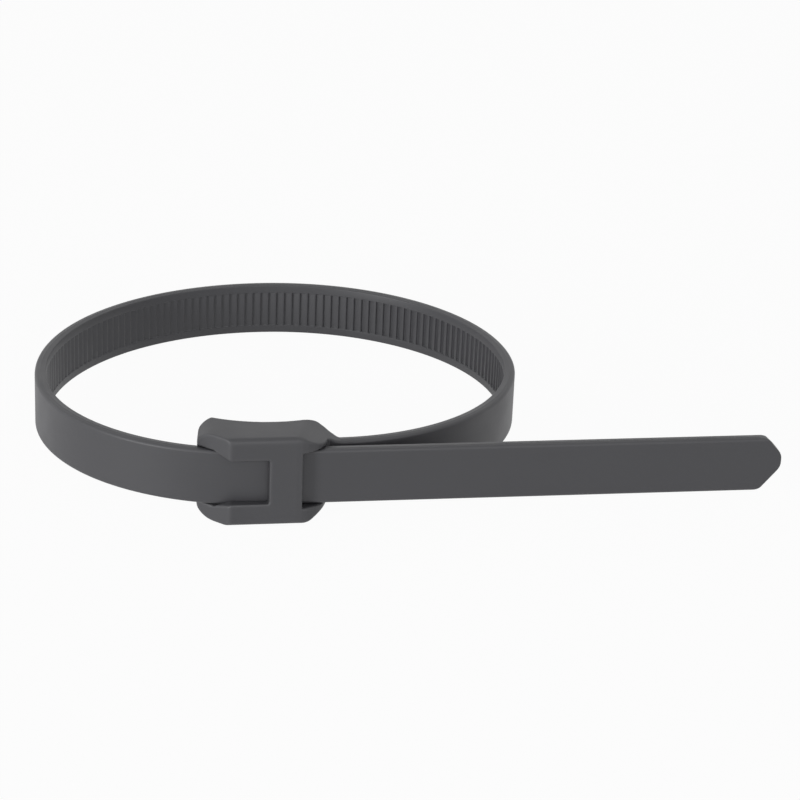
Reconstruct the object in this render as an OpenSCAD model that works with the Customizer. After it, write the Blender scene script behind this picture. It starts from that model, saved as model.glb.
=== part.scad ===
// In-line cable tie, closed to a loop and lying on the side of its head.
// The tail runs along +X with its middle plane on y = 0, and the loop lies towards +Y.
// The origin is the middle of the head's lower side, which is the plane z = 0.

/* [Strap] */
// Width of the strap across its flat side
strap_w = 9; // [7:0.5:10]
// Thickness of the strap over its smooth rims
strap_t = 1.8; // [1.5:0.1:2.2]
// Radius along the long edges of the strap's outer face
outer_edge_r = 0.5; // [0.2:0.05:0.7]
// Radius along the long edges of the strap's inner face
inner_edge_r = 0.2; // [0.1:0.05:0.3]
// Length of the tail from the middle of the head to its tip
tail_l = 82.8; // [30:0.5:140]
// Straight length of the fixed strap beyond the head, before it bends
neck_l = 1.6; // [1:0.1:5]

/* [Loop] */
// Radius of the first quarter of the loop, from the fixed end of the strap
first_r = 33.3; // [26:0.1:60]
// Radius of the second quarter of the loop
second_r = 37.3; // [33:0.1:66]
// Distance before the middle of the head where the loop runs out straight
bend_lead = 0.3; // [0:0.1:1.5]

/* [Tail tip] */
// Height cut off the upper corner of the tip
tip_cut_top = 2.9; // [1:0.1:3.4]
// Height cut off the lower corner of the tip
tip_cut_bottom = 4; // [1:0.1:4.4]
// Length of each cut for every millimetre of its height
tip_slope = 0.85; // [0.6:0.05:2]
// Radius that rounds off the corners of the tip
tip_r = 2; // [0.5:0.1:2.8]

/* [Teeth] */
// Distance from one tooth to the next
tooth_pitch = 1.45; // [1:0.05:2]
// Depth of the grooves between the teeth
tooth_depth = 0.4; // [0.3:0.05:0.7]
// Part of the pitch that one groove takes
groove_share = 0.8; // [0.6:0.05:0.85]
// Width of the smooth rim on each side of the teeth
rim_w = 1.4; // [0.7:0.1:1.6]
// Smooth length of strap between the head and the first tooth
teeth_start = 8; // [4:1:20]
// Smooth length of strap between the last tooth and the tip
teeth_end = 9; // [6:1:20]

/* [Head] */
// Length of the head along the strap, without its tapered neck
head_l = 20.4; // [19.5:0.1:24]
// Width of the head, from its lower to its upper side
head_w = 14.6; // [13.4:0.1:17]
// Thickness of the front plate that the strap passes under
plate_t = 1.5; // [1.2:0.1:2.2]
// Room between the two layers of strap, where the pawl sits
layer_gap = 1.5; // [1.4:0.1:2]
// Thickness of the base where its saddle is lowest
base_t = 2.2; // [2:0.1:3.2]
// Radius of the saddle that the base lays on the bundle
saddle_r = 20; // [16:1:40]
// Distance of the saddle's lowest line from the middle of the head
saddle_shift = 2; // [0:0.1:2.5]
// Radius of the two corners at the head's entry end
corner_r = 2.7; // [0.8:0.1:3.5]
// Radius of the rounded shoulder at the head's exit end, seen from above
shoulder_r = 5.4; // [3:0.1:5.6]
// Radius along the front plate's long edges
edge_r = 1; // [0.2:0.1:1.2]

/* [Entry and bridge] */
// Length of the bridge that crosses the strap
bridge_l = 5.2; // [4:0.1:6]
// Distance from the bridge to the head's exit end
shoulder_l = 4.3; // [3:0.1:4.8]
// Length of the open window beside the bridge
window_l = 5.9; // [4:0.1:6.2]
// Width of the open window
window_w = 7.3; // [6:0.1:8]
// Width of the lead-in at the head's entry end
funnel_w = 10.8; // [9.6:0.1:12]
// Distance from the head's entry end to the tips of the lips
lip_back = 2.3; // [2:0.1:3]
// Length of the slanted face at the head's entry end
slant_l = 4.8; // [3:0.1:5]
// Depth of the slanted face at the head's entry end
slant_d = 4.7; // [3:0.1:5.5]

/* [Pawl] */
// Length of the pawl from its hinge to its free end
pawl_l = 8; // [7:0.1:8.5]
// Thickness of the pawl behind its teeth
pawl_t = 0.85; // [0.6:0.05:1]
// Thickness of the pawl at its thin hinge
hinge_t = 0.55; // [0.4:0.05:0.6]
// Length of the thin hinge
hinge_l = 1.2; // [0.8:0.1:1.6]
// Most teeth that the pawl may have, as far as its length has room for them
pawl_teeth = 4; // [2:1:4]
// Depth of the pocket behind the pawl, sunk into the base
relief_d = 0.6; // [0.4:0.1:0.8]

/* [Clearances] */
// Gap between the strap and the head, on each flat side
slide_gap = 0.2; // [0.1:0.05:0.3]
// Gap between the strap's edges and the head's cheeks
side_gap = 0.15; // [0.1:0.05:0.3]
// Gap between the pawl and the strap
pawl_gap = 0.12; // [0.08:0.02:0.2]
// Gap between the pawl and the walls beside it
pawl_side_gap = 0.4; // [0.3:0.05:0.6]

/* [Hidden] */
nylon = [0.3, 0.3, 0.315];
over = 1;
smooth = 256;
facet_rate = 5;

// Heights: the strap lies in the middle of the head's width
mid_z = head_w / 2;
strap_z = mid_z - strap_w / 2;

// Layers, counted from the middle of the strap in the head
face_y = strap_t / 2;
layer_step = strap_t + layer_gap;
root_cover = 0.15;
floor_y = face_y + layer_gap - root_cover;
saddle_y = floor_y + base_t;
front_y = -face_y - slide_gap - plate_t;
ear_rise = 3;
ear_y = saddle_y + ear_rise;

// Places along the head
head_end = head_l / 2;
entry_x = -head_end;
bridge_end = head_end - shoulder_l;
bridge_start = bridge_end - bridge_l;
window_x = bridge_start - window_l;

// Entry end seen from above: the slanted face, then a nearly square face that leans in towards the ear
slant_r = 1;
entry_flat = 3;
entry_lean = 0.5;
entry_r = 1.5;
ear_back = 3.3;

// Exit end seen from above: its back corner, and a bevel up to the ear
back_lift = 0.4;
back_r = 0.8;
back_bevel_l = 1.8;
back_bevel_lift = 1.4;

// The neck tapers until its faces have sunk just inside the strap's faces
neck_sink = 0.25;
neck_over = 0.6;
neck_end = head_end + neck_l + neck_over;
neck_root = 1.6;
neck_back = 1.2;
neck_lift = 0.9;

// The upper and the lower side slope down to the neck from these places on the front plate
taper_skew = 16.6;
upper_taper_x = bridge_end - 0.5;
lower_taper_x = bridge_end + 0.6;

// The loop is four quarter turns, each with its own radius and tangent to the next.
// The last two radii follow from the first two, so that the loop ends one layer in front of its start.
start_x = head_end + neck_l;
end_x = -bend_lead;
third_r = first_r + (layer_step + start_x - end_x) / 2;
fourth_r = second_r + (layer_step - start_x + end_x) / 2;
quarter_r = [first_r, second_r, third_r, fourth_r];
quarter_pos = [
    [start_x, layer_step + first_r],
    [start_x + first_r - second_r, layer_step + first_r],
    [end_x + third_r - fourth_r, fourth_r],
    [end_x, fourth_r]
];
quarter_s = [
    0,
    first_r * PI / 2,
    (first_r + second_r) * PI / 2,
    (first_r + second_r + third_r) * PI / 2
];
loop_len = quarter_s[3] + fourth_r * PI / 2;
root_in = 3;
tip_s = loop_len + tail_l - end_x;

// The tip's corners are rounded as far as the straight stretches between them allow
almost = 0.95;
tip_turn = atan(tip_slope);
tip_flat = strap_w - tip_cut_top - tip_cut_bottom;
tip_slant = min(tip_cut_top, tip_cut_bottom) * norm([1, tip_slope]);
tip_flat_r = almost * tip_flat / (2 * tan(tip_turn / 2));
tip_slant_r = almost * tip_slant / (tan(tip_turn / 2) + tan(45 - tip_turn / 2));
tip_round = min(tip_r, tip_flat_r, tip_slant_r);

// Teeth are counted along the strap from where its bend starts
groove_l = groove_share * tooth_pitch;
groove_slope = tooth_depth / groove_l;
first_tooth = ceil((teeth_start - neck_l) / tooth_pitch);
last_tooth = floor((tip_s - teeth_end) / tooth_pitch) - 1;
comb_share = 0.8;
comb_over = tooth_depth * (1 - groove_share) * comb_share;
comb_back = 0.6;

// The pawl's free end lies under the bridge, and its hinge at the other end of the pocket
pawl_under = 1.1;
pawl_tip = bridge_end - pawl_under;
pawl_root = pawl_tip - pawl_l;
pawl_inset = 0.3;
pawl_w = strap_w - 2 * rim_w - 2 * pawl_inset;
pocket_w = pawl_w + 2 * pawl_side_gap;
pocket_over = 0.7;
pawl_face = face_y + pawl_gap;
pawl_back = pawl_face + pawl_t;
pawl_bevel = 0.4;
tooth_root_gap = 0.02;

// Last groove of the strap that opens in front of the pawl
groove_spare = 0.1;
tip_groove = floor((loop_len - end_x + pawl_tip) / tooth_pitch - groove_share - groove_spare);
tip_wall = end_x - loop_len + tip_groove * tooth_pitch + groove_l;
pawl_flat = tip_wall - pawl_root - hinge_l - pawl_bevel;
pawl_count = min(pawl_teeth, floor(pawl_flat / tooth_pitch));

function quarter_at(s) = s < quarter_s[1] ? 0 : s < quarter_s[2] ? 1 : s < quarter_s[3] ? 2 : 3;

// Point at length s along the strap, a distance out on the loop's outer side
function strap_point(s, out) =
    s <= 0 ? [start_x + s, layer_step - out]
    : s >= loop_len ? [end_x + s - loop_len, -out]
    : let (q = quarter_at(s), a = 90 * (q - 1) + (s - quarter_s[q]) / quarter_r[q] * 180 / PI)
        quarter_pos[q] + (quarter_r[q] + out) * [cos(a), sin(a)];

function reversed(list) = [for (i = [len(list) - 1 : -1 : 0]) list[i]];
function unit(v) = v / norm(v);

// Number of facets that an arc of this radius needs
function facets(r) = ceil(facet_rate * sqrt(r));

// Points of one rounded corner: [x, y, radius] between its two neighbours
function corner_arc(before, corner, after) =
    let (
        r = corner[2],
        p = [corner[0], corner[1]],
        u = unit([before[0], before[1]] - p),
        v = unit([after[0], after[1]] - p),
        half = acos(u * v) / 2,
        mid = p + unit(u + v) * r / sin(half),
        first = p + u * r / tan(half) - mid,
        last = p + v * r / tan(half) - mid,
        from = atan2(first[1], first[0]),
        turn = atan2(last[1], last[0]) - from,
        sweep = turn > 180 ? turn - 360 : turn < -180 ? turn + 360 : turn,
        n = facets(r)
    )
    [for (i = [0 : n]) mid + r * [cos(from + sweep * i / n), sin(from + sweep * i / n)]];

// Outline with a radius at each corner, where 0 leaves it sharp
function rounded(corners) =
    let (n = len(corners))
    [
        for (i = [0 : n - 1])
            each corners[i][2] == 0
                ? [[corners[i][0], corners[i][1]]]
                : corner_arc(corners[(i + n - 1) % n], corners[i], corners[(i + 1) % n])
    ];

// Raises an outline drawn in X and Z from one depth to another
module upright(from_y, to_y) {
    translate([0, to_y, 0])
        rotate([90, 0, 0])
            linear_extrude(height = to_y - from_y)
                children();
}

// Sweeps a section of outward distance and height along the straight strap
module along_x(from_x, to_x, y) {
    translate([from_x, y, 0])
        rotate([90, 0, 90])
            linear_extrude(height = to_x - from_x)
                mirror([1, 0])
                    children();
}

// Sweeps the same section round one quarter of the loop
module round_quarter(q) {
    translate([quarter_pos[q][0], quarter_pos[q][1], 0])
        rotate([0, 0, 90 * (q - 1)])
            rotate_extrude(angle = 90, $fn = smooth)
                translate([quarter_r[q], 0])
                    children();
}

module strap_section() {
    top = strap_z + strap_w;
    polygon(rounded([
        [-face_y, strap_z, inner_edge_r],
        [face_y, strap_z, outer_edge_r],
        [face_y, top, outer_edge_r],
        [-face_y, top, inner_edge_r]
    ]));
}

module smooth_strap() {
    along_x(start_x - neck_l - root_in, start_x, layer_step)
        strap_section();
    for (q = [0 : 3])
        round_quarter(q)
            strap_section();
    along_x(end_x, tail_l, 0)
        strap_section();
}

// One groove slopes down towards the tip and ends in a steep wall
function groove(i) =
    let (start = i * tooth_pitch, wall = start + groove_l)
    [
        strap_point(start - comb_over / groove_slope, -face_y - comb_over),
        strap_point(wall, -face_y + tooth_depth),
        strap_point(wall, -face_y - comb_over)
    ];

module tooth_grooves() {
    teeth = [for (i = [first_tooth : last_tooth]) i];
    back = [for (i = [first_tooth : last_tooth + 1]) strap_point(i * tooth_pitch, -face_y - comb_over - comb_back)];
    translate([0, 0, strap_z + rim_w])
        linear_extrude(height = strap_w - 2 * rim_w)
            polygon(concat([for (i = teeth) each groove(i)], reversed(back)));
}

// Everything beyond the tip of the tail, whose corners are cut off and rounded
module beyond_tip() {
    low = strap_z;
    high = strap_z + strap_w;
    cut_top_x = tail_l - tip_cut_top * tip_slope;
    cut_bottom_x = tail_l - tip_cut_bottom * tip_slope;
    back_x = min(cut_top_x, cut_bottom_x) - 2 * tip_round;
    upright(-face_y - over, face_y + over)
        difference() {
            translate([back_x, low - over])
                square([tail_l + over - back_x, strap_w + 2 * over]);
            polygon(rounded([
                [back_x - over, low, 0],
                [cut_bottom_x, low, tip_round],
                [tail_l, low + tip_cut_bottom, tip_round],
                [tail_l, high - tip_cut_top, tip_round],
                [cut_top_x, high, tip_round],
                [back_x - over, high, 0]
            ]));
        }
}

module strap() {
    difference() {
        smooth_strap();
        tooth_grooves();
        beyond_tip();
    }
}

// Head seen from above, without its neck
head_plan = rounded([
    [entry_x + slant_l, front_y, slant_r],
    [head_end, front_y, shoulder_r],
    [head_end, saddle_y + back_lift, back_r],
    [head_end - back_bevel_l, saddle_y + back_bevel_lift, 0],
    [head_end - back_bevel_l, ear_y, 0],
    [entry_x + ear_back, ear_y, 0],
    [entry_x + entry_lean, front_y + slant_d + entry_flat, entry_r],
    [entry_x, front_y + slant_d, slant_r]
]);

// Neck seen from above
neck_plan = [
    [bridge_end, layer_step - face_y - neck_root],
    [neck_end, layer_step - face_y + neck_sink],
    [neck_end, layer_step + face_y - neck_sink],
    [head_end - neck_back, saddle_y + neck_lift],
    [bridge_end, saddle_y]
];

// Head seen from the entry end, with the front plate's edges rounded
head_profile = rounded([
    [front_y, 0, edge_r],
    [ear_y + over, 0, 0],
    [ear_y + over, head_w, 0],
    [front_y, head_w, edge_r]
]);

// Head seen from the front, with rounded corners at the entry end
head_front = rounded([
    [entry_x, 0, corner_r],
    [neck_end + over, 0, 0],
    [neck_end + over, head_w, 0],
    [entry_x, head_w, corner_r]
]);

// Everything above the sloping top of the shoulder and neck, which starts at from_x on the front plate
module taper_cut(from_x) {
    run = (neck_end - from_x) * cos(taper_skew) - (layer_step - front_y) * sin(taper_skew);
    drop = head_w - strap_z - strap_w + neck_sink;
    slope = drop / run;
    far = run + 4 * over;
    translate([from_x, front_y, 0])
        rotate([0, 0, -taper_skew])
            upright(-4 * over, ear_y - front_y + 8 * over)
                polygon([
                    [-over, head_w + slope * over],
                    [far, head_w - slope * far],
                    [far, head_w + slope * over]
                ]);
}

module head_blank() {
    difference() {
        intersection() {
            translate([0, 0, -over])
                linear_extrude(height = head_w + 2 * over) {
                    polygon(head_plan);
                    polygon(neck_plan);
                }
            upright(front_y - over, ear_y + over)
                polygon(head_front);
            translate([entry_x - over, 0, 0])
                rotate([90, 0, 90])
                    linear_extrude(height = neck_end - entry_x + 2 * over)
                        polygon(head_profile);
        }
        translate([saddle_shift, saddle_y + saddle_r, -over])
            cylinder(h = head_w + 2 * over, r = saddle_r, $fn = smooth);
        taper_cut(upper_taper_x);
        translate([0, 0, head_w])
            mirror([0, 0, 1])
                taper_cut(lower_taper_x);
    }
}

// The passage follows the strap with a gap on every side
module passage_section() {
    translate([-face_y - slide_gap, strap_z - side_gap])
        square([strap_t + 2 * slide_gap, strap_w + 2 * side_gap]);
}

module passage() {
    round_quarter(3)
        passage_section();
    along_x(end_x, neck_end + over, 0)
        passage_section();
}

// The window and its lead-in leave an upper and a lower lip
module window() {
    half = window_w / 2;
    mouth = funnel_w / 2 + (funnel_w - window_w) / 2 / (window_x - entry_x) * over;
    upright(front_y - over, 0)
        polygon([
            [bridge_start, mid_z - half],
            [bridge_start, mid_z + half],
            [window_x, mid_z + half],
            [entry_x - over, mid_z + mouth],
            [entry_x - over, mid_z - mouth],
            [window_x, mid_z - half]
        ]);
}

// The strap lies open between the cheeks at both ends of the head
module open_ends() {
    low_z = strap_z - side_gap;
    wide = strap_w + 2 * side_gap;
    upright(front_y - over, 0) {
        translate([entry_x - over, low_z])
            square([lip_back + over, wide]);
        translate([bridge_end, low_z])
            square([neck_end + over - bridge_end, wide]);
    }
}

// Room for the pawl, open towards the tail, with a deeper part behind the pawl
module pawl_pocket() {
    translate([pawl_root, 0, mid_z - pocket_w / 2])
        cube([neck_end + over - pawl_root, floor_y, pocket_w]);
    translate([pawl_root, 0, mid_z - pocket_w / 2])
        cube([pawl_l + pocket_over, floor_y + relief_d, pocket_w]);
}

// One pawl tooth fills a groove of the strap, apart from the gap
function pawl_tooth(i) =
    let (
        start = end_x + i * tooth_pitch - loop_len,
        wall = start + groove_l - pawl_gap,
        lift = pawl_gap * sqrt(1 + groove_slope * groove_slope)
    )
    [
        [wall, pawl_face],
        [wall, face_y + lift - groove_slope * (wall - start)],
        [start + (lift - pawl_gap) / groove_slope + tooth_root_gap, pawl_face]
    ];

module pawl() {
    teeth = [for (i = [tip_groove : -1 : tip_groove - pawl_count + 1]) each pawl_tooth(i)];
    hinge_y = pawl_back - hinge_t;
    translate([0, 0, mid_z - pawl_w / 2])
        linear_extrude(height = pawl_w)
            polygon(concat(
                [
                    [pawl_root - over, hinge_y],
                    [pawl_root - over, pawl_back],
                    [pawl_tip - pawl_bevel, pawl_back],
                    [pawl_tip, pawl_back - pawl_bevel],
                    [pawl_tip, pawl_face]
                ],
                teeth,
                [
                    [pawl_root + hinge_l + pawl_bevel, pawl_face],
                    [pawl_root + hinge_l, hinge_y]
                ]
            ));
}

module head() {
    difference() {
        head_blank();
        passage();
        window();
        open_ends();
        pawl_pocket();
    }
    pawl();
}

module cable_tie() {
    color(nylon) {
        head();
        strap();
    }
}

cable_tie();
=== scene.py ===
"""Visual model of the closed in-line cable tie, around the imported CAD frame.

Shapes are in millimetres, in the CAD model's own frame, and add_mesh() turns them into metres.
A length s along the strap counts from the start of its bend.
"""
import math
import bpy
import numpy as np
from mathutils import Matrix, Vector


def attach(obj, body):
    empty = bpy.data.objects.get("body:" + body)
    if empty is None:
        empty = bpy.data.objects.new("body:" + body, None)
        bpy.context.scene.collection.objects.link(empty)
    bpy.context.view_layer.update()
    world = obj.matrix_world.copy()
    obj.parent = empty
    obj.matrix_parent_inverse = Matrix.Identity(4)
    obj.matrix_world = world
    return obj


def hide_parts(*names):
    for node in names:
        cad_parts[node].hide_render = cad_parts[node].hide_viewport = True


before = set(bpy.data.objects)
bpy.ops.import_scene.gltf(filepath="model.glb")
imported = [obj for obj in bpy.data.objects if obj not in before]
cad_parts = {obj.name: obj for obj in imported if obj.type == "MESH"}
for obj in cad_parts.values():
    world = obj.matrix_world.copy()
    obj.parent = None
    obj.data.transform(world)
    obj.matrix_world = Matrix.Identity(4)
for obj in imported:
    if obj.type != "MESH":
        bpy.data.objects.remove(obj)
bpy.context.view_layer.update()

MM = 0.001

# Driving dimensions, the same values as in the part's source
STRAP_W = 9.0
STRAP_T = 1.8
OUTER_EDGE_R = 0.5
INNER_EDGE_R = 0.2
TAIL_L = 82.8
NECK_L = 1.6
FIRST_R = 33.3
SECOND_R = 37.3
BEND_LEAD = 0.3
TIP_CUT_TOP = 2.9
TIP_CUT_BOTTOM = 4.0
TIP_SLOPE = 0.85
TIP_R = 2.0
TOOTH_PITCH = 1.45
TOOTH_DEPTH = 0.4
GROOVE_SHARE = 0.8
RIM_W = 1.4
TEETH_START = 8.0
TEETH_END = 9.0
HEAD_L = 20.4
HEAD_W = 14.6
PLATE_T = 1.5
LAYER_GAP = 1.5
BASE_T = 2.2
SADDLE_R = 20.0
SADDLE_SHIFT = 2.0
CORNER_R = 2.7
SHOULDER_R = 5.4
EDGE_R = 1.0
BRIDGE_L = 5.2
SHOULDER_L = 4.3
WINDOW_L = 5.9
WINDOW_W = 7.3
FUNNEL_W = 10.8
LIP_BACK = 2.3
SLANT_L = 4.8
SLANT_D = 4.7
PAWL_L = 8.0
PAWL_T = 0.85
HINGE_T = 0.55
HINGE_L = 1.2
PAWL_TEETH = 4
RELIEF_D = 0.6
SLIDE_GAP = 0.2
SIDE_GAP = 0.15
PAWL_GAP = 0.12
PAWL_SIDE_GAP = 0.4

# Layers and places of the head, as in the part's source
ROOT_COVER = 0.15
EAR_RISE = 3.0
NECK_SINK = 0.25
NECK_OVER = 0.6
MID_Z = HEAD_W / 2
STRAP_Z = MID_Z - STRAP_W / 2
FACE_Y = STRAP_T / 2
LAYER_STEP = STRAP_T + LAYER_GAP
FLOOR_Y = FACE_Y + LAYER_GAP - ROOT_COVER
SADDLE_Y = FLOOR_Y + BASE_T
FRONT_Y = -FACE_Y - SLIDE_GAP - PLATE_T
EAR_Y = SADDLE_Y + EAR_RISE
HEAD_END = HEAD_L / 2
ENTRY_X = -HEAD_END
BRIDGE_END = HEAD_END - SHOULDER_L
BRIDGE_START = BRIDGE_END - BRIDGE_L
WINDOW_X = BRIDGE_START - WINDOW_L
LIP_X = ENTRY_X + LIP_BACK
NECK_END = HEAD_END + NECK_L + NECK_OVER

# The loop is four quarter turns, each tangent to the next
START_X = HEAD_END + NECK_L
END_X = -BEND_LEAD
THIRD_R = FIRST_R + (LAYER_STEP + START_X - END_X) / 2
FOURTH_R = SECOND_R + (LAYER_STEP - START_X + END_X) / 2
QUARTER_R = np.array([FIRST_R, SECOND_R, THIRD_R, FOURTH_R])
QUARTER_POS = np.array([
    [START_X, LAYER_STEP + FIRST_R],
    [START_X + FIRST_R - SECOND_R, LAYER_STEP + FIRST_R],
    [END_X + THIRD_R - FOURTH_R, FOURTH_R],
    [END_X, FOURTH_R],
])
QUARTER_S = np.concatenate([[0], np.cumsum(QUARTER_R * math.pi / 2)])
LOOP_LEN = QUARTER_S[4]
GROOVE_L = GROOVE_SHARE * TOOTH_PITCH

# Camera, solved from the loop, the tail and the head in the photograph
PHOTO_PX = 800
CAM_AIM = np.array([25.944, 29.185, 7.3])
CAM_DIST = 439.013
CAM_UP = math.radians(22.503)
CAM_TURN = math.radians(9.747)
CAM_ROLL = math.radians(-2.422)
CAM_FOCAL_PX = 2640.081
CAM_SENSOR = 36
# Nearest and farthest place that it shows, in metres
CAM_NEAR = 0.01
CAM_FAR = 20


def add_camera():
    turn = np.array([math.cos(CAM_TURN), -math.sin(CAM_TURN), 0])
    ahead = np.array([
        math.sin(CAM_TURN) * math.cos(CAM_UP),
        math.cos(CAM_TURN) * math.cos(CAM_UP),
        -math.sin(CAM_UP),
    ])
    up = np.cross(turn, ahead)
    right = turn * math.cos(CAM_ROLL) - up * math.sin(CAM_ROLL)
    top = turn * math.sin(CAM_ROLL) + up * math.cos(CAM_ROLL)
    place = (CAM_AIM - ahead * CAM_DIST) * MM
    data = bpy.data.cameras.new("camera")
    data.sensor_fit = "HORIZONTAL"
    data.sensor_width = CAM_SENSOR
    data.lens = CAM_FOCAL_PX / PHOTO_PX * data.sensor_width
    data.clip_start = CAM_NEAR
    data.clip_end = CAM_FAR
    cam = bpy.data.objects.new("camera", data)
    bpy.context.scene.collection.objects.link(cam)
    cam.matrix_world = Matrix((
        (right[0], top[0], -ahead[0], place[0]),
        (right[1], top[1], -ahead[1], place[1]),
        (right[2], top[2], -ahead[2], place[2]),
        (0, 0, 0, 1),
    ))
    bpy.context.scene.camera = cam


def add_mesh(name, verts, faces, uvs=None, marks=None):
    """A smooth-shaded mesh object from points in millimetres, with a number for each point and mark."""
    mesh = bpy.data.meshes.new(name)
    mesh.from_pydata((np.asarray(verts) * MM).tolist(), [], faces)
    mesh.validate()
    mesh.update()
    mesh.polygons.foreach_set("use_smooth", [True] * len(mesh.polygons))
    if uvs is not None:
        layer = mesh.uv_layers.new(name="UVMap")
        corner = np.empty(len(mesh.loops), dtype=np.int64)
        mesh.loops.foreach_get("vertex_index", corner)
        layer.data.foreach_set("uv", np.asarray(uvs)[corner].ravel())
    for mark, values in (marks or {}).items():
        attribute = mesh.attributes.new(mark, "FLOAT", "POINT")
        attribute.data.foreach_set("value", np.asarray(values, dtype=np.float32))
    piece = bpy.data.objects.new(name, mesh)
    bpy.context.scene.collection.objects.link(piece)
    return piece


# Outlines

def arc(cx, cy, r, start, end, n):
    a = np.radians(np.linspace(start, end, n))
    return [(cx + r * math.cos(t), cy + r * math.sin(t)) for t in a]


def rounded(corners, steps=10):
    """Closed outline through corners of (x, y, radius), where a radius of 0 leaves the corner sharp."""
    points = []
    n = len(corners)
    for i, (x, y, r) in enumerate(corners):
        p = np.array([x, y])
        if r == 0:
            points.append(p)
            continue
        before = np.array(corners[i - 1][:2]) - p
        after = np.array(corners[(i + 1) % n][:2]) - p
        u = before / np.linalg.norm(before)
        v = after / np.linalg.norm(after)
        half = math.acos(float(u @ v)) / 2
        bis = (u + v) / np.linalg.norm(u + v)
        mid = p + bis * r / math.sin(half)
        a0 = math.atan2(*(p + u * r / math.tan(half) - mid)[::-1])
        a1 = math.atan2(*(p + v * r / math.tan(half) - mid)[::-1])
        sweep = (a1 - a0 + math.pi) % (2 * math.pi) - math.pi
        for t in np.linspace(0, 1, steps):
            points.append(mid + r * np.array([math.cos(a0 + sweep * t), math.sin(a0 + sweep * t)]))
    return np.array(points)


# Strap: one section swept along the loop and the tail

# An edge's radius takes at most this share of half the thickness
OUTER_SHARE = 0.9
INNER_SHARE = 0.4
OUTER_STEPS = 6
INNER_STEPS = 4
# Ridge where the two halves of the mould part
SEAM_HALF = 0.07
SEAM_RISE = 0.03
SEAM_MARK = 0.6
# Points beside the edges and at the ends of the grooves keep the faces flat
EDGE_SUPPORT = 0.12
GROOVE_LIP = 0.05
WALL_NEAR = 0.06
WALL_FAR = 0.16
# Points from rim to rim across the flat faces, on the strap and on its tip
COARSE = 5
FINE = 17
# Rings of one tooth: (length from the tooth's start, share of the depth)
TOOTH_RINGS = (
    (0.0, 0.0),
    (0.12, 0.06),
    (GROOVE_L * 0.5, 0.48),
    (GROOVE_L - 0.13, 0.86),
    (GROOVE_L - 0.04, 0.88),
    (GROOVE_L + 0.01, 0.6),
    (GROOVE_L + 0.05, 0.14),
    (GROOVE_L + 0.11, 0.0),
)
# Rings of the plain stretches, the first of them inside the head
PLAIN_STEP = 0.8
TOOTH_SPACE = 0.3
ROOT_IN = 3
TIP_SPACE = 5.6
# The tip's outline starts this far back, and has this many points to each round corner
TIP_BACK = 10
TIP_STEPS = 16
# The tip's first rings lie this far behind its outline, and the last ones round off its end
TIP_LEAD = (0.7, 0.55)
END_ROUND = 0.4
END_STEPS = 7
# Millimetres to one unit of the texture coordinates
UV_MM = 10


def on_path(s):
    """Middle point and outward direction at each length along the strap."""
    s = np.asarray(s, dtype=float)
    q = np.clip(np.searchsorted(QUARTER_S, s, side="right") - 1, 0, 3)
    a = np.pi / 2 * (q - 1) + (s - QUARTER_S[q]) / QUARTER_R[q]
    out = np.stack([np.cos(a), np.sin(a)], 1)
    mid = QUARTER_POS[q] + QUARTER_R[q][:, None] * out
    for straight, x, y in ((s <= 0, START_X + s, LAYER_STEP), (s >= LOOP_LEN, END_X + s - LOOP_LEN, 0)):
        out[straight] = (0, -1)
        mid[straight] = np.stack([x, np.full_like(x, y)], 1)[straight]
    return mid, out


def edge_arc(out, z, r, start, steps):
    """A quarter turn of (out, z, edge mark), with the highest mark in its middle."""
    turn = arc(out, z, r, start, start + 90, steps)
    return [(w, v, math.sin(math.pi * i / (steps - 1))) for i, (w, v) in enumerate(turn)]


def section(depth, inset, steps):
    """Points of (out, z, edge mark) round the strap, with a groove that deep. The inset thins the strap."""
    f = FACE_Y - inset
    low = STRAP_Z
    high = STRAP_Z + STRAP_W
    ro = min(OUTER_EDGE_R, OUTER_SHARE * f)
    ri = min(INNER_EDGE_R, INNER_SHARE * f)
    rise = SEAM_RISE if inset == 0 else 0
    lip = min(depth, GROOVE_LIP)
    middle = (low + high) / 2
    half = STRAP_W / 2 - RIM_W
    across = half * np.linspace(-1, 1, steps)[1:-1]
    wall = (
        (-f, WALL_FAR),
        (-f, WALL_NEAR),
        (-f + lip, 0),
        (-f + depth, -WALL_NEAR),
        (-f + depth, -WALL_FAR),
    )
    points = edge_arc(f - ro, low + ro, ro, -90, OUTER_STEPS)
    points.append((f, low + ro + EDGE_SUPPORT, 0))
    points += [(f, middle + t, 0) for t in across]
    points.append((f, high - ro - EDGE_SUPPORT, 0))
    points += edge_arc(f - ro, high - ro, ro, 0, OUTER_STEPS)
    points += [(SEAM_HALF, high, 0), (0, high + rise, SEAM_MARK), (-SEAM_HALF, high, 0)]
    points += edge_arc(-f + ri, high - ri, ri, 90, INNER_STEPS)
    points += [(w, middle + half + t, 0) for w, t in wall]
    points += [(-f + depth, middle - t, 0) for t in across]
    points += [(w, middle - half - t, 0) for w, t in reversed(wall)]
    points += edge_arc(-f + ri, low + ri, ri, 180, INNER_STEPS)
    points += [(-SEAM_HALF, low, 0), (0, low - rise, SEAM_MARK), (SEAM_HALF, low, 0)]
    return points


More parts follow.
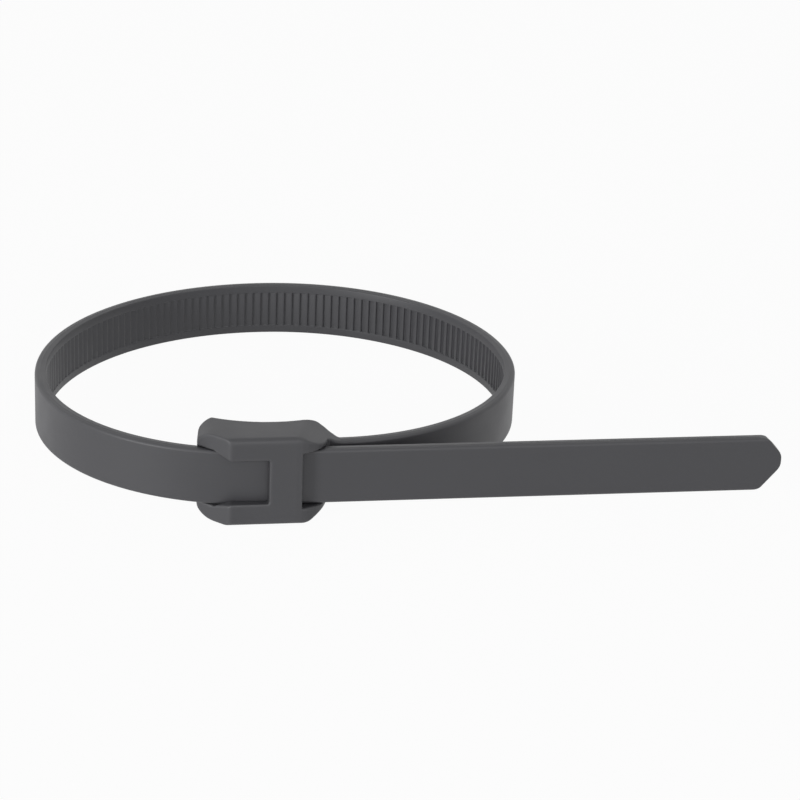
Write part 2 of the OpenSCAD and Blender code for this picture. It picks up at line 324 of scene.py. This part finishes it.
def strap_rings():
    """Rings up to the tip: (length along the strap, depth of the groove)."""
    tip = LOOP_LEN + TAIL_L - END_X
    first = math.ceil((TEETH_START - NECK_L) / TOOTH_PITCH)
    last = math.floor((tip - TEETH_END) / TOOTH_PITCH) - 1
    teeth_from = first * TOOTH_PITCH - TOOTH_SPACE
    teeth_to = (last + 1) * TOOTH_PITCH + TOOTH_SPACE
    rings = [(s, 0.0) for s in np.arange(-NECK_L - ROOT_IN, teeth_from, PLAIN_STEP)]
    for i in range(first, last + 1):
        rings += [(i * TOOTH_PITCH + ds, share * TOOTH_DEPTH) for ds, share in TOOTH_RINGS]
    rings += [(s, 0.0) for s in np.arange(teeth_to, tip - TIP_SPACE, PLAIN_STEP)]
    return rings


def tip_rings():
    """Rings of the tip: (distance behind its outline, thinning)."""
    turns = np.radians(np.linspace(0, 90, END_STEPS))
    end = [(END_ROUND * (1 - math.sin(t)), END_ROUND * (1 - math.cos(t))) for t in turns]
    return [(back, 0.0) for back in TIP_LEAD] + end


def tip_reach():
    """Heights across the strap, and how far along X the tip's rounded outline reaches at each."""
    low = STRAP_Z
    high = STRAP_Z + STRAP_W
    cut_top_x = TAIL_L - TIP_CUT_TOP * TIP_SLOPE
    cut_bottom_x = TAIL_L - TIP_CUT_BOTTOM * TIP_SLOPE
    outline = rounded([
        (cut_top_x - TIP_BACK, high, 0),
        (cut_bottom_x - TIP_BACK, low, 0),
        (cut_bottom_x, low, TIP_R),
        (TAIL_L, low + TIP_CUT_BOTTOM, TIP_R),
        (TAIL_L, high - TIP_CUT_TOP, TIP_R),
        (cut_top_x, high, TIP_R),
    ], TIP_STEPS)[2:]
    return outline[:, 1], outline[:, 0]


class Skin:
    """The rings of a swept mesh and the faces between them."""

    def __init__(self):
        self.verts = []
        self.uvs = []
        self.edge = []
        self.faces = []

    def add_point(self, x, y, z, s, mark):
        self.verts.append((x, y, z))
        self.uvs.append((s / UV_MM, (z - STRAP_Z) / UV_MM))
        self.edge.append(mark)

    def add_tube(self, start, around, rings):
        """Quads between that many rings, the first of which begins at the vertex start."""
        for a in range(start, start + (rings - 1) * around, around):
            for j in range(around):
                k = (j + 1) % around
                self.faces.append((a + j, a + around + j, a + around + k, a + k))


def widening(last, around, start):
    """Faces from the last coarse ring to the first fine one, which has the same points and more."""
    digits = 6
    fine = section(0.0, 0, FINE)
    spots = {(round(w, digits), round(z, digits)): j for j, (w, z, mark) in enumerate(fine)}
    match = [spots[(round(w, digits), round(z, digits))] for w, z, mark in section(0.0, 0, COARSE)]
    faces = []
    for j in range(around):
        k = (j + 1) % around
        across = range(match[j], match[k] + 1) if match[k] > match[j] else (match[j], match[k])
        faces.append((last + j, *(start + t for t in across), last + k))
    return faces


def zip_up(one, two, height):
    """Triangles between two chains of vertices that both run upwards from one vertex to another."""
    faces = []
    i = j = 0
    while i < len(one) - 1 or j < len(two) - 1:
        if j == len(two) - 1 or (i < len(one) - 1 and height[one[i + 1]] < height[two[j + 1]]):
            face = (one[i + 1], one[i], two[j])
            i += 1
        else:
            face = (two[j], two[j + 1], one[i])
            j += 1
        if len(set(face)) == 3:
            faces.append(face)
    return faces


def end_face(verts, around):
    """Triangles that close the last ring, from the lower seam to the upper edge."""
    past_half = 4
    ring = np.arange(len(verts) - around, len(verts))
    top = int(np.argmax([verts[v][2] for v in ring[:around // 2 + past_half]]))
    outer = np.concatenate([ring[-2:], ring[:top + 1]])
    inner = ring[top:-1][::-1]
    return zip_up(outer.tolist(), inner.tolist(), [v[2] for v in verts])


def make_strap():
    skin = Skin()
    rings = strap_rings()
    mid, out = on_path([s for s, depth in rings])
    for (s, depth), m, o in zip(rings, mid, out):
        for w, z, mark in section(depth, 0, COARSE):
            skin.add_point(m[0] + w * o[0], m[1] + w * o[1], z, s, mark)
    coarse = len(skin.verts) // len(rings)
    skin.faces.append(tuple(range(coarse)))
    skin.add_tube(0, coarse, len(rings))

    start = len(skin.verts)
    ends = tip_rings()
    heights, reach = tip_reach()
    for nth, (back, inset) in enumerate(ends):
        turned = max(nth - len(TIP_LEAD), 0) / (END_STEPS - 1)
        for w, z, mark in section(0.0, inset, FINE):
            x = np.interp(z, heights, reach) - back
            skin.add_point(x, -w, z, LOOP_LEN + x, max(mark, math.sin(math.pi * turned)))
    fine = (len(skin.verts) - start) // len(ends)
    skin.add_tube(start, fine, len(ends))

    skin.faces += widening(start - coarse, coarse, start)
    skin.faces += end_face(skin.verts, fine)
    # The strap gets no painted shade in its corners
    marks = {"edge": skin.edge, "painted_shade": np.zeros(len(skin.edge))}
    return add_mesh("strap", skin.verts, skin.faces, skin.uvs, marks)


# Head: a distance field with rounded edges, meshed

# Details of the head's outlines, as in the part's source
SLANT_R = 1
ENTRY_FLAT = 3
ENTRY_LEAN = 0.5
ENTRY_R = 1.5
EAR_BACK = 3.3
BACK_LIFT = 0.4
BACK_R = 0.8
BACK_BEVEL_L = 1.8
BACK_BEVEL_LIFT = 1.4
NECK_ROOT = 1.6
NECK_BACK = 1.2
NECK_LIFT = 0.9
TAPER_SKEW = math.radians(16.6)
UPPER_TAPER_X = BRIDGE_END - 0.5
LOWER_TAPER_X = BRIDGE_END + 0.6
OVER = 1

# Details of the pawl, as in the part's source
PAWL_UNDER = 1.1
PAWL_INSET = 0.3
PAWL_TIP = BRIDGE_END - PAWL_UNDER
PAWL_ROOT = PAWL_TIP - PAWL_L
PAWL_W = STRAP_W - 2 * RIM_W - 2 * PAWL_INSET
PAWL_BEVEL = 0.4
POCKET_OVER = 0.7
TOOTH_ROOT_GAP = 0.02
GROOVE_SPARE = 0.1

# These outlines stand out from the plan's own faces, which the rounded edges would set back
FRONT_OUT = 0.12
PROFILE_OUT = 0.1
# How far the outlines reach past the neck, and the cuts ahead of the strap
NECK_FAR = 6
AHEAD_FAR = 20

# Radii of the fillets and edges
NECK_FILLET = 0.6
SADDLE_EDGE = 0.3
TAPER_EDGE = 0.5
BLANK_EDGE = 0.22
PASSAGE_CORNER = 0.1
PASSAGE_EDGE = 0.2
WINDOW_CORNER = 0.3
LIP_R = 2
WINDOW_EDGE = 0.28
OPEN_CORNER = 0.2
OPEN_BACK_EDGE = 0.05
ENTRY_EDGE = 0.25
EXIT_EDGE = 0.3
POCKET_EDGE = 0.1
PAWL_EDGE = 0.15
ROOT_EDGE = 0.3
ROOT_FILLET = 0.35

# Dents of the ejector pins in the lower side
DENT_XS = (-4.6, 3.4)
DENT_Y = 1.2
DENT_R = 1.25
DENT_D = 0.1
DENT_EDGE = 0.08

# The strap's fixed end in the head's mesh lies just inside the swept strap
ROOT_THIN = 0.03
# It reaches this far into the head, and past the neck
ROOT_REACH = 2

# Grid of the head's mesh. The margins keep its planes off the head's flat faces.
GRID_STEP = 0.15
GRID_MARGIN = 0.42
GRID_PAST_NECK = 2.5
GRID_PAST_EAR = 0.8
# How far round a vertex the marks look, and the mean distance that makes a full mark
MARK_REACH = 0.4
MARK_FULL = 0.08

HEAD_PLAN = rounded([
    (ENTRY_X + SLANT_L, FRONT_Y, SLANT_R),
    (HEAD_END, FRONT_Y, SHOULDER_R),
    (HEAD_END, SADDLE_Y + BACK_LIFT, BACK_R),
    (HEAD_END - BACK_BEVEL_L, SADDLE_Y + BACK_BEVEL_LIFT, 0),
    (HEAD_END - BACK_BEVEL_L, EAR_Y, 0),
    (ENTRY_X + EAR_BACK, EAR_Y, 0),
    (ENTRY_X + ENTRY_LEAN, FRONT_Y + SLANT_D + ENTRY_FLAT, ENTRY_R),
    (ENTRY_X, FRONT_Y + SLANT_D, SLANT_R),
])
NECK_PLAN = np.array([
    [BRIDGE_END, LAYER_STEP - FACE_Y - NECK_ROOT],
    [NECK_END, LAYER_STEP - FACE_Y + NECK_SINK],
    [NECK_END, LAYER_STEP + FACE_Y - NECK_SINK],
    [HEAD_END - NECK_BACK, SADDLE_Y + NECK_LIFT],
    [BRIDGE_END, SADDLE_Y],
])
HEAD_FRONT = rounded([
    (ENTRY_X - FRONT_OUT, 0, CORNER_R),
    (NECK_END + NECK_FAR, 0, 0),
    (NECK_END + NECK_FAR, HEAD_W, 0),
    (ENTRY_X - FRONT_OUT, HEAD_W, CORNER_R),
])
HEAD_PROFILE = rounded([
    (FRONT_Y - PROFILE_OUT, 0, EDGE_R + PROFILE_OUT),
    (EAR_Y + OVER, 0, 0),
    (EAR_Y + OVER, HEAD_W, 0),
    (FRONT_Y - PROFILE_OUT, HEAD_W, EDGE_R + PROFILE_OUT),
])


def window_outline():
    """The window and its lead-in, which leave an upper and a lower lip."""
    half = WINDOW_W / 2
    mouth = FUNNEL_W / 2 + (FUNNEL_W - WINDOW_W) / 2 / (WINDOW_X - ENTRY_X) * OVER
    return rounded([
        (BRIDGE_START, MID_Z - half, WINDOW_CORNER),
        (BRIDGE_START, MID_Z + half, WINDOW_CORNER),
        (WINDOW_X, MID_Z + half, LIP_R),
        (ENTRY_X - OVER, MID_Z + mouth, 0),
        (ENTRY_X - OVER, MID_Z - mouth, 0),
        (WINDOW_X, MID_Z - half, LIP_R),
    ])


def pawl_outline():
    """The pawl's hinge, back and teeth. Each tooth fills a groove of the strap, apart from the gap."""
    face = FACE_Y + PAWL_GAP
    back = face + PAWL_T
    slope = TOOTH_DEPTH / GROOVE_L
    lift = PAWL_GAP * math.hypot(1, slope)
    last = math.floor((LOOP_LEN - END_X + PAWL_TIP) / TOOTH_PITCH - GROOVE_SHARE - GROOVE_SPARE)
    flat = END_X - LOOP_LEN + last * TOOTH_PITCH + GROOVE_L - PAWL_ROOT - HINGE_L - PAWL_BEVEL
    points = [
        (PAWL_ROOT - OVER, back - HINGE_T),
        (PAWL_ROOT - OVER, back),
        (PAWL_TIP - PAWL_BEVEL, back),
        (PAWL_TIP, back - PAWL_BEVEL),
        (PAWL_TIP, face),
    ]
    for i in range(min(PAWL_TEETH, math.floor(flat / TOOTH_PITCH))):
        start = END_X - LOOP_LEN + (last - i) * TOOTH_PITCH
        wall = start + GROOVE_L - PAWL_GAP
        points += [
            (wall, face),
            (wall, FACE_Y + lift - slope * (wall - start)),
            (start + (lift - PAWL_GAP) / slope + TOOTH_ROOT_GAP, face),
        ]
    points += [(PAWL_ROOT + HINGE_L + PAWL_BEVEL, face), (PAWL_ROOT + HINGE_L, back - HINGE_T)]
    return np.array(points)


def outline_distance(px, py, outline):
    """Signed distance of a grid of points from a closed outline, below 0 inside it."""
    far = 1e9
    tiny = 1e-12
    best = np.full(px.shape, far)
    inside = np.zeros(px.shape, dtype=bool)
    for (ax, ay), (bx, by) in zip(outline, np.roll(outline, -1, axis=0)):
        ex, ey = bx - ax, by - ay
        wx, wy = px - ax, py - ay
        t = np.clip((wx * ex + wy * ey) / max(ex * ex + ey * ey, tiny), 0, 1)
        best = np.minimum(best, (wx - t * ex) ** 2 + (wy - t * ey) ** 2)
        crosses = (ay > py) != (by > py)
        with np.errstate(divide="ignore", invalid="ignore"):
            at = ax + (py - ay) * ex / (ey if ey != 0 else tiny)
        inside ^= crosses & (px < at)
    return np.sqrt(best) * np.where(inside, -1, 1)


def meet(a, b, r):
    """What lies in both, with the edge between them rounded."""
    return np.minimum(np.maximum(a, b), -r) + np.hypot(np.maximum(a + r, 0), np.maximum(b + r, 0))


def cut(a, b, r):
    """What lies in a and not in b, with the edge between them rounded."""
    return meet(a, -b, r)


def join(a, b, r):
    """Both together, with a fillet between them."""
    return -meet(-a, -b, r)


class Grid:
    """Open grids of x, y and z, with the distances that the head's parts need more than once."""

    def __init__(self, low, high):
        count = np.ceil((high - low) / GRID_STEP).astype(int) + 1
        x, y, z = (low[i] + GRID_STEP * np.arange(count[i]) for i in range(3))
        self.shape = tuple(count)
        self.plan = np.meshgrid(x, y, indexing="ij")
        self.front = np.meshgrid(x, z, indexing="ij")
        self.profile = np.meshgrid(y, z, indexing="ij")
        self.x = x[:, None, None]
        self.y = y[None, :, None]
        self.z = z[None, None, :]
        # Below 0 within the strap's width and its gaps, and ahead of the strap's middle plane
        self.wide = np.abs(self.z - MID_Z) - STRAP_W / 2 - SIDE_GAP
        self.ahead = np.maximum(self.y, -self.y - AHEAD_FAR)

    def from_above(self, outline):
        return outline_distance(*self.plan, outline)[:, :, None]

    def from_front(self, outline):
        return outline_distance(*self.front, outline)[:, None, :]

    def from_end(self, outline):
        return outline_distance(*self.profile, outline)[None, :, :]


def taper(g, z, from_x):
    """Distance above the slope that starts at from_x on the front plate."""
    cs, sn = math.cos(TAPER_SKEW), math.sin(TAPER_SKEW)
    run = (NECK_END - from_x) * cs - (LAYER_STEP - FRONT_Y) * sn
    slope = (HEAD_W - STRAP_Z - STRAP_W + NECK_SINK) / run
    along = (g.x - from_x) * cs - (g.y - FRONT_Y) * sn
    return (z - HEAD_W + slope * along) / math.hypot(1, slope)


def blank(g):
    """The head and its neck, before anything is cut out."""
    plan = join(g.from_above(HEAD_PLAN), g.from_above(NECK_PLAN), NECK_FILLET)
    saddle = SADDLE_R - np.hypot(g.x - SADDLE_SHIFT, g.y - SADDLE_Y - SADDLE_R)
    plan = meet(plan, saddle, SADDLE_EDGE)
    tapers = np.maximum(taper(g, g.z, UPPER_TAPER_X), taper(g, HEAD_W - g.z, LOWER_TAPER_X))
    caps = np.maximum(g.from_front(HEAD_FRONT), g.from_end(HEAD_PROFILE))
    return meet(plan, meet(caps, tapers, TAPER_EDGE), BLANK_EDGE)


def passage(g):
    """The strap's way through the head."""
    bend = np.hypot(g.x - END_X, g.y - FOURTH_R) - FOURTH_R
    outward = np.where(g.x < END_X, bend, -g.y)
    return meet(np.abs(outward) - FACE_Y - SLIDE_GAP, g.wide, PASSAGE_CORNER)


def window(g):
    return meet(g.from_front(window_outline()), g.ahead, OPEN_BACK_EDGE)


def open_end(g, short_of):
    """Room in front of the strap where the head leaves it open."""
    return meet(meet(short_of, g.wide, OPEN_CORNER), g.ahead, OPEN_BACK_EDGE)


def pawl_pocket(g, tall):
    """Room for the pawl, open towards the tail, with a deeper part behind the pawl."""
    relief = np.maximum(g.y - FLOOR_Y - RELIEF_D, g.x - PAWL_TIP - POCKET_OVER)
    depth = np.minimum(g.y - FLOOR_Y, relief)
    return np.maximum(np.maximum(PAWL_ROOT - g.x, -g.y), np.maximum(depth, tall - PAWL_SIDE_GAP))


def dent(g, dent_x):
    return np.maximum(np.hypot(g.x - dent_x, g.y - DENT_Y) - DENT_R, g.z - DENT_D)


def strap_root(g):
    """The fixed end of the strap, as far as the head's mesh holds it."""
    bend = np.hypot(g.x - START_X, g.y - LAYER_STEP - FIRST_R) - FIRST_R
    outward = np.where(g.x > START_X, bend, LAYER_STEP - g.y)
    flat = np.abs(outward) - FACE_Y + ROOT_THIN
    root = meet(flat, np.abs(g.z - MID_Z) - STRAP_W / 2 + ROOT_THIN, ROOT_EDGE)
    return np.maximum(root, np.maximum(g.x - NECK_END - ROOT_REACH, HEAD_END - ROOT_REACH - g.x))


def head_distance(g):
    """Signed distance field of the head and its pawl."""
    tall = np.abs(g.z - MID_Z) - PAWL_W / 2
    solid = cut(blank(g), passage(g), PASSAGE_EDGE)
    solid = cut(solid, window(g), WINDOW_EDGE)
    solid = cut(solid, open_end(g, g.x - LIP_X), ENTRY_EDGE)
    solid = cut(solid, open_end(g, BRIDGE_END - g.x), EXIT_EDGE)
    solid = cut(solid, pawl_pocket(g, tall), POCKET_EDGE)
    solid = np.minimum(solid, meet(g.from_above(pawl_outline()), tall, PAWL_EDGE))
    for dent_x in DENT_XS:
        solid = cut(solid, dent(g, dent_x), DENT_EDGE)
    return join(solid, strap_root(g), ROOT_FILLET)


def surface_net(field, low, h):
    """Vertices and quads of the surface where the field is 0."""
    corner = np.array([(i, j, k) for i in (0, 1) for j in (0, 1) for k in (0, 1)])
    shape = np.array(field.shape) - 1
    inside = field < 0
    count = sum(inside[i:i + shape[0], j:j + shape[1], k:k + shape[2]].astype(np.int8) for i, j, k in corner)
    cells = np.argwhere((count > 0) & (count < 8))
    index = np.full(shape, -1, dtype=np.int64)
    index[tuple(cells.T)] = np.arange(len(cells))

    # Each cell's vertex is the mean of the points where its edges cross the surface
    value = np.stack([field[tuple((cells + c).T)] for c in corner], 1)
    total = np.zeros((len(cells), 3))
    number = np.zeros(len(cells))
    for a in range(8):
        for b in range(a + 1, 8):
            if np.abs(corner[a] - corner[b]).sum() != 1:
                continue
            fa, fb = value[:, a], value[:, b]
            hit = (fa < 0) != (fb < 0)
            t = np.where(hit, fa / np.where(hit, fa - fb, 1), 0)
            total += np.where(hit[:, None], corner[a] + t[:, None] * (corner[b] - corner[a]), 0)
            number += hit
    verts = low + (cells + total / number[:, None]) * h

    # Each edge of the grid that crosses the surface gives a quad between the four cells round it
    quads = []
    for axis in range(3):
        u, v = (axis + 1) % 3, (axis + 2) % 3
        step = np.zeros(3, dtype=int)
        step[axis] = 1
        end = np.array(field.shape) - step
        a = inside[:end[0], :end[1], :end[2]]
        b = inside[step[0]:, step[1]:, step[2]:]
        edges = np.argwhere(a != b)
        edges = edges[(edges[:, u] > 0) & (edges[:, v] > 0)]
        edges = edges[(edges[:, u] < shape[u]) & (edges[:, v] < shape[v])]
        ring = []
        for du, dv in ((1, 1), (0, 1), (0, 0), (1, 0)):
            cell = edges.copy()
            cell[:, u] -= du
            cell[:, v] -= dv
            ring.append(index[tuple(cell.T)])
        ring = np.stack(ring, 1)
        flip = ~a[tuple(edges.T)]
        ring[flip] = ring[flip][:, ::-1]
        quads.append(ring)
    return verts, np.concatenate(quads)


def sample(field, low, h, points):
    """The field's value at any points between its grid points."""
    # Each point stays just short of the last grid point, because it needs the next one too
    g = np.clip((points - low) / h, 0, np.array(field.shape) - 1.001)
    i = g.astype(int)
    f = g - i
    value = 0
    for dx in (0, 1):
        for dy in (0, 1):
            for dz in (0, 1):
                w = (f[:, 0] if dx else 1 - f[:, 0]) * (f[:, 1] if dy else 1 - f[:, 1])
                w = w * (f[:, 2] if dz else 1 - f[:, 2])
                value = value + w * field[i[:, 0] + dx, i[:, 1] + dy, i[:, 2] + dz]
    return value


def settle(verts, field, low, h):
    """Moves the vertices onto the surface along the field's slope."""
    passes = 2
    least_slope = 0.2
    for _ in range(passes):
        eps = h / 2
        grad = np.stack([
            (sample(field, low, h, verts + eps * d) - sample(field, low, h, verts - eps * d)) / (2 * eps)
            for d in np.eye(3)
        ], 1)
        size = np.maximum((grad ** 2).sum(1), least_slope)
        move = -sample(field, low, h, verts)[:, None] * grad / size[:, None]
        verts = verts + np.clip(move, -h / 2, h / 2)
    return verts


def make_head():
    low = np.array([ENTRY_X, FRONT_Y, 0]) - GRID_MARGIN
    high = np.array([NECK_END + GRID_PAST_NECK, EAR_Y + GRID_PAST_EAR, HEAD_W + GRID_MARGIN])
    grid = Grid(low, high)
    field = np.broadcast_to(head_distance(grid), grid.shape).astype(np.float64)
    verts, quads = surface_net(field, low, GRID_STEP)
    verts = settle(verts, field, low, GRID_STEP)

    # Round about an outer edge the field is above 0 on average, and in a corner below 0. The corner mark is
    # painted shade, darkest in corners and creases; the edge mark is wear on outer edges.
    ways = np.concatenate([np.eye(3), -np.eye(3)])
    bulge = sum(sample(field, low, GRID_STEP, verts + MARK_REACH * d) for d in ways) / len(ways)
    marks = {"edge": np.clip(bulge / MARK_FULL, 0, 1), "painted_shade": np.clip(-bulge / MARK_FULL, 0, 1)}
    return add_mesh("head", verts, quads.tolist(), verts[:, [0, 2]] / UV_MM, marks)


# Materials

NYLON_DARK = (0.056, 0.056, 0.062, 1)
NYLON_LIGHT = (0.066, 0.066, 0.072, 1)
NYLON_WORN = (0.11, 0.11, 0.116, 1)
# Painted shade: the colour of the head's corners and creases, where shade falls
NYLON_PAINTED_SHADE = (0.036, 0.036, 0.04, 1)
NYLON_IOR = 1.53
WORN_SHARE = 0.3
# Share of the painted shade in the head's corners and creases
PAINTED_SHADE_SHARE = 0.4
# Roughness at the two ends of this range of the clouds
CLOUD_RANGE = (0.3, 0.7)
NYLON_ROUGH = (0.4, 0.5)

# Noise scales, for each metre: the fine grain, soft waves, clouds, and streaks along the strap
GRAIN = 7000
WAVES = 450
CLOUD = 120
STREAKS = (60, 60, 2200)
# Share of each in the bump
GRAIN_SHARE = 0.25
WAVES_SHARE = 0.9
STREAKS_SHARE = 0.35
GRAIN_ROUGH = 0.08
BUMP_STRENGTH = 0.35
BUMP_DISTANCE = 0.00004

FLOOR_DARK = (0.92, 0.92, 0.92, 1)
FLOOR_LIGHT = (0.96, 0.96, 0.96, 1)
FLOOR_SPECKS = 900
FLOOR_GLOW = 0.955
WHITE = (1, 1, 1, 1)
SOFT_LIGHT = 0.26


class Nodes:
    """Short calls for building a node tree."""

    def __init__(self, tree):
        self.tree = tree
        tree.nodes.clear()

    def add(self, kind, **settings):
        node = self.tree.nodes.new(kind)
        inputs = settings.pop("inputs", {})
        for key, value in settings.items():
            setattr(node, key, value)
        for key, value in inputs.items():
            self.set(node.inputs[key], value)
        return node

    def set(self, socket, value):
        if isinstance(value, bpy.types.NodeSocket):
            self.tree.links.new(value, socket)
        else:
            socket.default_value = value

    def math(self, operation, a, b=0.0):
        return self.add("ShaderNodeMath", operation=operation, inputs={0: a, 1: b}).outputs[0]

    def remap(self, value, from_low, from_high, to_low, to_high):
        """The value, moved from one range to another."""
        ends = {"From Min": from_low, "From Max": from_high, "To Min": to_low, "To Max": to_high}
        return self.add("ShaderNodeMapRange", inputs={"Value": value, **ends}).outputs[0]

    def mix(self, factor, a, b):
        """A colour between a and b. The node's colours are its inputs 6 and 7 and its output 2."""
        node = self.add("ShaderNodeMix", data_type="RGBA")
        for place, value in ((0, factor), (6, a), (7, b)):
            self.set(node.inputs[place], value)
        return node.outputs[2]

    def noise(self, vector, scale, detail=2.0):
        node = self.add("ShaderNodeTexNoise", inputs={"Vector": vector, "Scale": scale, "Detail": detail})
        return node.outputs[0]

    def mark(self, name):
        """A mesh's mark of that name, from 0 to 1."""
        return self.add("ShaderNodeAttribute", attribute_name=name).outputs["Fac"]

    def seen(self):
        """1 for camera, glossy and transmission rays, and 0 for the rest."""
        light = self.add("ShaderNodeLightPath")
        either = self.math("MAXIMUM", light.outputs["Is Camera Ray"], light.outputs["Is Glossy Ray"])
        return self.math("MAXIMUM", either, light.outputs["Is Transmission Ray"])


def nylon_material():
    mat = bpy.data.materials.new("nylon")
    mat.use_nodes = True
    n = Nodes(mat.node_tree)
    place = n.add("ShaderNodeTexCoord").outputs["Object"]
    grain = n.noise(place, GRAIN)
    waves = n.noise(place, WAVES)
    cloud = n.noise(place, CLOUD, detail=3.0)
    stretch = n.add("ShaderNodeMapping", inputs={"Vector": place, "Scale": STREAKS}).outputs[0]
    streaks = n.noise(stretch, 1.0, detail=3.0)
    height = n.math("ADD", n.math("MULTIPLY", grain, GRAIN_SHARE), n.math("MULTIPLY", waves, WAVES_SHARE))
    height = n.math("ADD", height, n.math("MULTIPLY", streaks, STREAKS_SHARE))
    bump = n.add("ShaderNodeBump", inputs={
        "Strength": BUMP_STRENGTH, "Distance": BUMP_DISTANCE, "Height": height,
    })
    worn = n.math("MULTIPLY", n.mark("edge"), WORN_SHARE)
    # Painted shade darkens the head's corners and creases, by the mark of their hollowness
    corner_shade = n.math("MULTIPLY", n.mark("painted_shade"), PAINTED_SHADE_SHARE)
    colour = n.mix(cloud, NYLON_DARK, NYLON_LIGHT)
    colour = n.mix(worn, colour, NYLON_WORN)
    colour = n.mix(corner_shade, colour, NYLON_PAINTED_SHADE)
    rough = n.remap(cloud, *CLOUD_RANGE, *NYLON_ROUGH)
    rough = n.math("ADD", rough, n.math("MULTIPLY", grain, GRAIN_ROUGH))
    shader = n.add("ShaderNodeBsdfPrincipled", inputs={
        "Base Color": colour, "Roughness": rough, "Normal": bump.outputs[0], "IOR": NYLON_IOR,
    })
    n.add("ShaderNodeOutputMaterial", inputs={"Surface": shader.outputs[0]})
    return mat


def floor_material():
    mat = bpy.data.materials.new("floor")
    mat.use_nodes = True
    n = Nodes(mat.node_tree)
    specks = n.noise(n.add("ShaderNodeTexCoord").outputs["Object"], FLOOR_SPECKS)
    colour = n.mix(specks, FLOOR_DARK, FLOOR_LIGHT)
    paper = n.add("ShaderNodeBsdfDiffuse", inputs={"Color": colour})
    glow = n.add("ShaderNodeEmission", inputs={"Color": WHITE, "Strength": 1.0})
    part = n.math("MULTIPLY", n.seen(), FLOOR_GLOW)
    mixed = n.add("ShaderNodeMixShader", inputs={0: part, 1: paper.outputs[0], 2: glow.outputs[0]})
    n.add("ShaderNodeOutputMaterial", inputs={"Surface": mixed.outputs[0]})
    return mat


# Floor, world and lamps

# The tie really rests on a corner of the head and the back of the loop, so the floor leans with them
FLOOR_SLOPE_X = 0.0157
FLOOR_SLOPE_Y = 0.0385
FLOOR_DROP = -0.315
FLOOR_SIZE = 3000

# Lamps: (name, place, aim, size, power), in metres and watts
LAMPS = (
    ("front", (0.0, -0.85, 0.4), (0.02, 0.03, 0), 0.5, 1.3),
    ("low", (-0.75, -0.48, 0.13), (0.0, 0.03, 0), 0.25, 3.6),
)


def add_floor():
    xs = (-FLOOR_SIZE, FLOOR_SIZE, FLOOR_SIZE, -FLOOR_SIZE)
    ys = (-FLOOR_SIZE, -FLOOR_SIZE, FLOOR_SIZE, FLOOR_SIZE)
    verts = [(x, y, FLOOR_SLOPE_X * x + FLOOR_SLOPE_Y * y + FLOOR_DROP) for x, y in zip(xs, ys)]
    floor = add_mesh("floor", verts, [(0, 1, 2, 3)])
    floor.data.materials.append(floor_material())


def add_world():
    world = bpy.data.worlds.new("world")
    bpy.context.scene.world = world
    world.use_nodes = True
    n = Nodes(world.node_tree)
    soft = n.add("ShaderNodeBackground", inputs={"Color": WHITE, "Strength": SOFT_LIGHT})
    white = n.add("ShaderNodeBackground", inputs={"Color": WHITE, "Strength": 1.0})
    mixed = n.add("ShaderNodeMixShader", inputs={0: n.seen(), 1: soft.outputs[0], 2: white.outputs[0]})
    n.add("ShaderNodeOutputWorld", inputs={"Surface": mixed.outputs[0]})


def add_lamp(name, place, aim, size, power):
    data = bpy.data.lights.new(name, "AREA")
    data.shape = "DISK"
    data.size = size
    data.energy = power
    lamp = bpy.data.objects.new(name, data)
    bpy.context.scene.collection.objects.link(lamp)
    lamp.location = place
    lamp.rotation_euler = (Vector(aim) - Vector(place)).to_track_quat("-Z", "Y").to_euler()


add_camera()
strap = make_strap()
head = make_head()
nylon = nylon_material()
for piece in (strap, head):
    piece.data.materials.append(nylon)
    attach(piece, "root")
    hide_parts("cable_tie")

add_floor()
add_world()
for lamp in LAMPS:
    add_lamp(*lamp)
bpy.context.scene.view_settings.view_transform = "Standard"
